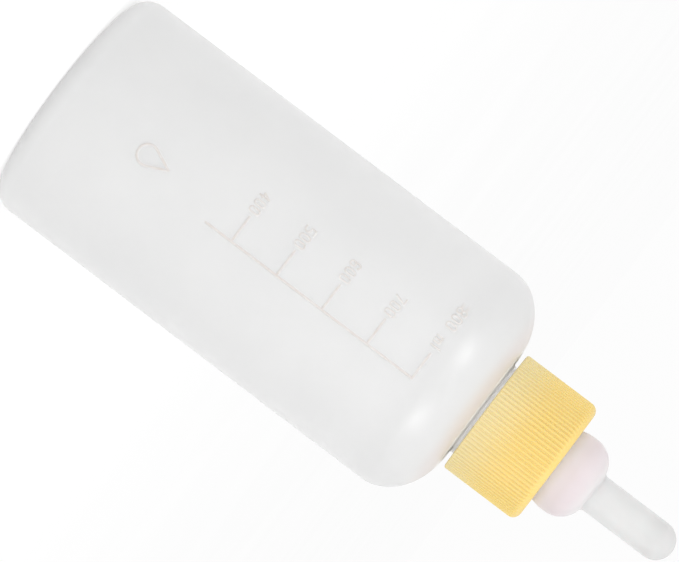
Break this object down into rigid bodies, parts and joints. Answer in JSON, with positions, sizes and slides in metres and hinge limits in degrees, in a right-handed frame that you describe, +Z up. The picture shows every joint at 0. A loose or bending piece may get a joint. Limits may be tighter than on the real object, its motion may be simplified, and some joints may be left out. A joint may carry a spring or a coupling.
{
  "type": "calf feeding bottle",
  "caption": "Upright cylindrical feeding bottle with a raised volume scale, a ribbed screw collar and a soft hollow teat with a domed base and a long nipple.",
  "frame": {"origin": "centre of the base, on the plane that the bottle stands on", "axes": "+Z up the bottle's axis from the base to the teat's tip; the graduated side faces -Y; the mould's parting line is in the XZ plane"},
  "size_m": [0.0864, 0.0863, 0.2543],
  "materials": {
    "bottle_plastic": "translucent milky, satin",
    "collar_plastic": "moulded, semi-gloss",
    "teat_silicone": "soft satin, translucent"
  },
  "bodies": {
    "bottle": {"bottle": "bottle_plastic"},
    "teat": {"teat": "teat_silicone"},
    "collar": {"collar": "collar_plastic"}
  },
  "joints": [
    {"name": "teat_rise", "type": "slide", "parent": "bottle", "child": "teat", "axis": [0, 0, 1], "range_m": [0, 0.0351]},
    {"name": "collar_turn", "type": "hinge", "parent": "teat", "child": "collar", "pos_m": [0, 0, 0.19], "axis": [0, 0, 1], "range_deg": [0, 2520]}
  ],
  "couplings": [
    {"joint": "teat_rise", "follows": "collar_turn", "m_per_rad": 0.00079577}
  ]
}
